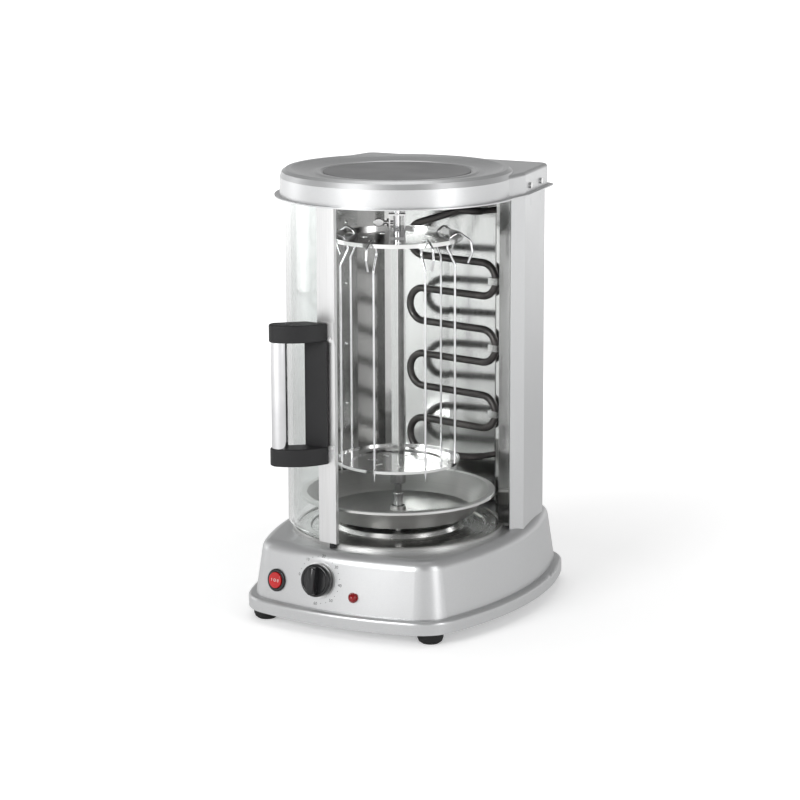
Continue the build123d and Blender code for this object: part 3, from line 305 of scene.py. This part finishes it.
def translucent_red(name, colour, rough):
    """Deep red glossy plastic with slightly uneven depth of colour."""
    m = Nodes(name)
    depth = m.noise(m.place(), 90.0)
    dark, light = shades(colour, 0.18)
    m.to(m.ramp(depth, [(0.3, dark), (0.7, light)]), "Base Color")
    m.to(m.spread(depth, rough - 0.02, rough + 0.03), "Roughness")
    return m.put(Coat_Weight=0.5, Coat_Roughness=0.04, Specular_IOR_Level=0.3).material


def clear_glass():
    """Clear tempered glass, faintly grey-green, that lets lamp light through to what is behind it."""
    m = Nodes("clear_glass")
    film = m.noise(m.place(), 9.0)
    m.to(m.spread(film, 0.0, 0.015), "Roughness")
    m.to(m.ramp(film, [(0.3, (0.955, 0.97, 0.965)), (0.7, (0.975, 0.985, 0.98))]), "Base Color")
    m.put(Transmission_Weight=1.0, IOR=1.45)
    out = m.tree.nodes["Material Output"]
    rays = m.add("ShaderNodeLightPath")
    clear = m.add("ShaderNodeBsdfTransparent")
    clear.inputs["Color"].default_value = (0.93, 0.95, 0.94, 1)
    mix = m.add("ShaderNodeMixShader")
    m.link(rays.outputs["Is Shadow Ray"], mix.inputs["Fac"])
    m.link(m.shader.outputs[0], mix.inputs[1]).link(clear.outputs[0], mix.inputs[2])
    m.link(mix.outputs[0], out.inputs["Surface"])
    return m.material


def print_ink():
    """Black printing ink with slightly uneven cover."""
    m = Nodes("print_ink")
    cover = m.noise(m.place(), 900.0)
    m.to(m.ramp(cover, [(0.3, (0.010, 0.010, 0.011)), (0.7, (0.020, 0.020, 0.022))]), "Base Color")
    return m.put(Roughness=0.5).material


def mark_white():
    """Pale print on dark or red plastic."""
    m = Nodes("mark_white")
    cover = m.noise(m.place(), 900.0)
    m.to(m.ramp(cover, [(0.3, (0.72, 0.70, 0.68)), (0.7, (0.86, 0.84, 0.82))]), "Base Color")
    return m.put(Roughness=0.45).material


def make_materials():
    return {
        "silver_paint": silver_paint(),
        "grey_plate": grey_plate(),
        "zinc_sheet": brushed("zinc_sheet", (0.52, 0.53, 0.54), 0.42, stretch=(1, 1, 1), scale=160.0),
        "stainless": brushed("stainless", (0.74, 0.74, 0.735), 0.10),
        "turned_steel": turned("turned_steel", (0.74, 0.74, 0.735), 0.12, scale=700.0),
        "satin_strip": brushed("satin_strip", (0.74, 0.74, 0.74), 0.30, scale=14.0),
        "pan_steel": turned("pan_steel", (0.62, 0.62, 0.61), 0.33),
        "reflector_steel": brushed("reflector_steel", (0.61, 0.61, 0.605), 0.12),
        # dark steel colour of the ceiling plate: painted shade, standing in for the shade under the lid
        "shaded_ceiling_steel": turned("shaded_ceiling_steel", (0.26, 0.255, 0.25), 0.34),
        "floor_steel": turned("floor_steel", (0.62, 0.62, 0.61), 0.24),
        "chrome": polished("chrome", (0.74, 0.74, 0.75), 0.07),
        "plated_steel": polished("plated_steel", (0.66, 0.66, 0.66), 0.20, mottle=0.08),
        "element_sheath": element_sheath(),
        "clear_glass": clear_glass(),
        "ceramic": moulded("ceramic", (0.80, 0.79, 0.75), 0.25, 300.0, 0.00003, coat=0.3),
        "black_plastic": moulded("black_plastic", (0.019, 0.019, 0.020), 0.50, 1800.0, 0.00005),
        "black_gloss": moulded("black_gloss", (0.014, 0.014, 0.015), 0.24, 1200.0, 0.00001, coat=0.3),
        "red_gloss": translucent_red("red_gloss", (0.52, 0.008, 0.010), 0.20),
        "red_lens": translucent_red("red_lens", (0.24, 0.004, 0.006), 0.08),
        "rubber": moulded("rubber", (0.014, 0.014, 0.014), 0.62, 1100.0, 0.00006),
        "motor_case": moulded("motor_case", (0.22, 0.22, 0.23), 0.40, 800.0, 0.00003),
        "housing_plastic": moulded("housing_plastic", (0.66, 0.65, 0.61), 0.45, 900.0, 0.00003),
        "print_ink": print_ink(),
        "mark_white": mark_white(),
    }


OWN_FINISHES = {                           # nodes whose sheet is turned or dulled, and the ceiling plate, whose dark steel colour is painted shade under the lid
    "lower_tray": "turned_steel",
    "top_disc": "turned_steel",
    "ceiling_plate": "shaded_ceiling_steel",
    "chamber_floor": "floor_steel",
    "reflector": "reflector_steel",
}


def dress():
    """Give every node the finish of its slot, or its own."""
    slots = {s["node"]: s["material_slot"] for s in frame["record"]["subparts"]}
    for name, node in nodes.items():
        finish = OWN_FINISHES.get(name, slots[name])
        node.data.materials.clear()
        node.data.materials.append(finishes[finish])


# ================================================================ pieces on the front panel
def panel_matrix(joint, out):
    """Frame at a control's pivot: x right, y up the wall, z out of it."""
    out = Vector(out).normalized()
    right = Vector((0, 0, 1)).cross(out).normalized()
    up = out.cross(right)
    turn = Matrix((right, up, out)).transposed().to_4x4()
    return Matrix.Translation(Vector(joint["pos_m"])) @ turn


def new_piece(name, shape, material, body):
    """Turn a bmesh into an object that rides on a body."""
    mesh = bpy.data.meshes.new(name)
    shape.to_mesh(mesh)
    shape.free()
    mesh.materials.append(finishes[material])
    piece = bpy.data.objects.new(name, mesh)
    bpy.context.scene.collection.objects.link(piece)
    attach(piece, body)
    return piece


def add_glyphs(shape, text, height, x, y):
    """Add a short flat text to a bmesh, centred on x and y."""
    curve = bpy.data.curves.new("glyphs", "FONT")
    curve.body = text
    curve.size = height * GLYPH_EM
    curve.align_x, curve.align_y = "CENTER", "CENTER"
    curve.resolution_u = GLYPH_STEPS
    holder = bpy.data.objects.new("glyphs", curve)
    mesh = bpy.data.meshes.new_from_object(holder)
    mesh.transform(Matrix.Translation((x, y, 0)))
    shape.from_mesh(mesh)
    bpy.data.objects.remove(holder)
    bpy.data.curves.remove(curve)
    bpy.data.meshes.remove(mesh)


def drape(shape, matrix, node):
    """Lay a flat bmesh, given in a panel's frame, on a node's surface."""
    mesh = nodes[node].data
    target = BVHTree.FromPolygons([v.co[:] for v in mesh.vertices], [p.vertices[:] for p in mesh.polygons])
    out = matrix.to_3x3() @ Vector((0, 0, 1))
    for vertex in shape.verts:
        start = matrix @ vertex.co + out * RAY_START
        hit = target.ray_cast(start, -out)[0]
        vertex.co = hit + out * PRINT_LIFT


def loft(shape, rings):
    """Skin a closed stack of rings of equal length, and cap both ends."""
    rows = [[shape.verts.new(point) for point in ring] for ring in rings]
    for low, high in zip(rows, rows[1:]):
        for n in range(len(low)):
            m = (n + 1) % len(low)
            shape.faces.new((low[n], low[m], high[m], high[n]))
    shape.faces.new(reversed(rows[0]))
    shape.faces.new(rows[-1])


def ring(half_x, half_y, z, powers=(1, 1)):
    """Points round an oval, whose powers below 1 square it off."""
    points = []
    for n in range(KNOB_FACETS):
        a = radians(360 * n / KNOB_FACETS)
        x, y = (copysign(abs(turn) ** power, turn) for turn, power in zip((cos(a), sin(a)), powers))
        points.append((half_x * x, half_y * y, z))
    return points


def timer_knob():
    """Round knob with a recessed face and a soft oval finger ridge across it."""
    joint = joints["timer_turn"]
    matrix = panel_matrix(joint, joint["axis"])
    inverse = matrix.inverted()
    top = max((inverse @ vertex.co).z for vertex in nodes["timer_knob"].data.vertices)
    shape = bmesh.new()
    loft(shape, [ring(r, r, z) for r, z in KNOB_PROFILE])
    layers = []
    for z, share in RIDGE_LAYERS:
        end = RIDGE_HALF_L - RIDGE_HALF_W * (1 - share)
        layers.append(ring(share * RIDGE_HALF_W, end, z, RIDGE_OVAL))
    loft(shape, layers)
    seat = matrix @ Matrix.Translation((0, 0, top - KNOB_DEPTH)) @ Matrix.Scale(MM, 4)
    bmesh.ops.transform(shape, matrix=seat, verts=shape.verts)
    bmesh.ops.recalc_face_normals(shape, faces=shape.faces)
    piece = new_piece("timer_knob_moulding", shape, "black_gloss", "knob")
    for face in piece.data.polygons:
        face.use_smooth = True
    piece.data.set_sharp_from_angle(angle=radians(KNOB_CREASE))
    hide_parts("timer_knob")


def timer_scale():
    """Dots and plain numbers of minutes round the timer knob, printed on the bowed panel."""
    knob = joints["timer_turn"]
    matrix = panel_matrix(knob, knob["axis"])
    shape = bmesh.new()
    for n, minutes in enumerate(SCALE_MINUTES):
        angle = radians(SCALE_START - SCALE_STEP * n)
        x, y = SCALE_NUMBER_R * cos(angle), SCALE_NUMBER_R * sin(angle)
        add_glyphs(shape, str(minutes), SCALE_NUMBER_H, x, y)
        if minutes == SCALE_MINUTES[-1]:
            break
        for part in range(1, SCALE_DOTS + 1):
            angle = radians(SCALE_START - SCALE_STEP * (n + part / (SCALE_DOTS + 1)))
            spot = Matrix.Translation((SCALE_DOT_AT * cos(angle), SCALE_DOT_AT * sin(angle), 0))
            bmesh.ops.create_circle(shape, cap_ends=True, segments=SCALE_DOT_SIDES, radius=SCALE_DOT_R,
                                    matrix=spot)
    drape(shape, matrix, "base_shell")
    new_piece("timer_scale", shape, "print_ink", "chassis")


def rocker_marks():
    """Off in the middle and the two on positions at the sides of the rocker."""
    rocker = joints["rocker_tilt"]
    axis = Vector(rocker["axis"])
    right = Vector((axis.y, -axis.x, 0)).normalized()
    matrix = panel_matrix(rocker, right.cross(axis))
    shape = bmesh.new()
    for text, x in ROCKER_MARKS:
        add_glyphs(shape, text, MARK_H, x, 0.0)
    drape(shape, matrix, "power_rocker")
    new_piece("rocker_marks", shape, "mark_white", "rocker")


# ================================================================ stage
def make_stage():
    """Pale floor that glows to white away from the object and keeps its shadow."""
    floor_mesh = bpy.data.meshes.new("floor")
    shape = bmesh.new()
    bmesh.ops.create_grid(shape, x_segments=1, y_segments=1, size=FLOOR_HALF)
    shape.to_mesh(floor_mesh)
    shape.free()
    floor = bpy.data.objects.new("floor", floor_mesh)
    bpy.context.scene.collection.objects.link(floor)
    material = bpy.data.materials.new("floor")
    material.use_nodes = True
    tree = material.node_tree
    shader = tree.nodes["Principled BSDF"]
    shader.inputs["Base Color"].default_value = (FLOOR_GREY, FLOOR_GREY, FLOOR_GREY, 1)
    shader.inputs["Roughness"].default_value = FLOOR_ROUGH
    shader.inputs["Specular IOR Level"].default_value = FLOOR_SHINE
    shader.inputs["Emission Color"].default_value = (1, 1, 1, 1)
    coords = tree.nodes.new("ShaderNodeTexCoord")
    away = tree.nodes.new("ShaderNodeVectorMath")
    away.operation = "LENGTH"
    tree.links.new(coords.outputs["Object"], away.inputs[0])
    seen = scaled(tree, away.outputs["Value"], *FLOOR_SEEN)
    mirrored = scaled(tree, away.outputs["Value"], *FLOOR_MIRRORED)
    rays = tree.nodes.new("ShaderNodeLightPath")
    glow = mixed(tree, rays.outputs["Is Glossy Ray"], seen, mirrored)
    glow = mixed(tree, rays.outputs["Is Diffuse Ray"], glow, 0.0)
    tree.links.new(glow, shader.inputs["Emission Strength"])
    floor_mesh.materials.append(material)


def make_world():
    """White to the eye and through glass; metal sees a white horizon under a darker ceiling."""
    world = bpy.data.worlds.new("studio")
    bpy.context.scene.world = world
    world.use_nodes = True
    tree = world.node_tree
    links = tree.links
    coords = tree.nodes.new("ShaderNodeTexCoord")
    split = tree.nodes.new("ShaderNodeSeparateXYZ")
    links.new(coords.outputs["Generated"], split.inputs[0])
    sky = scaled(tree, split.outputs["Z"], 0.0, SKY_FALL, *SEEN_BY_METAL)
    rays = tree.nodes.new("ShaderNodeLightPath")
    level = mixed(tree, rays.outputs["Is Glossy Ray"], AMBIENT, sky)
    level = mixed(tree, rays.outputs["Is Transmission Ray"], level, 1.0)
    level = mixed(tree, rays.outputs["Is Camera Ray"], level, 1.0)
    back = tree.nodes["Background"]
    links.new(level, back.inputs["Strength"])
    back.inputs["Color"].default_value = (1, 1, 1, 1)


def make_lights():
    for name, place, size, power in LAMPS:
        lamp = bpy.data.lights.new(name, "AREA")
        lamp.shape = "RECTANGLE"
        lamp.size, lamp.size_y = size
        lamp.energy = power
        holder = bpy.data.objects.new(name, lamp)
        holder.location = place
        holder.rotation_mode = "QUATERNION"
        holder.rotation_quaternion = (Vector(LAMP_TARGET) - Vector(place)).to_track_quat("-Z", "Y")
        bpy.context.scene.collection.objects.link(holder)


def make_camera():
    camera = bpy.data.objects.new("camera", bpy.data.cameras.new("camera"))
    bpy.context.scene.collection.objects.link(camera)
    bpy.context.scene.camera = camera
    a = radians(CAMERA_AZIMUTH)
    camera.location = (CAMERA_DISTANCE * sin(a), AXIS_Y - CAMERA_DISTANCE * cos(a), CAMERA_HEIGHT)
    turn = Matrix.Rotation(a + radians(CAMERA_PAN), 4, "Z")
    turn = turn @ Matrix.Rotation(radians(90 - CAMERA_PITCH), 4, "X")
    turn = turn @ Matrix.Rotation(radians(CAMERA_ROLL), 4, "Z")
    camera.rotation_mode = "QUATERNION"
    camera.rotation_quaternion = turn.to_quaternion()
    camera.data.lens = CAMERA_LENS
    camera.data.sensor_width = SENSOR_WIDTH
    camera.data.clip_end = CAMERA_REACH


make_camera()
finishes = make_materials()
dress()
timer_scale()
rocker_marks()
timer_knob()
make_stage()
make_world()
make_lights()
bpy.context.scene.view_settings.view_transform = "Standard"
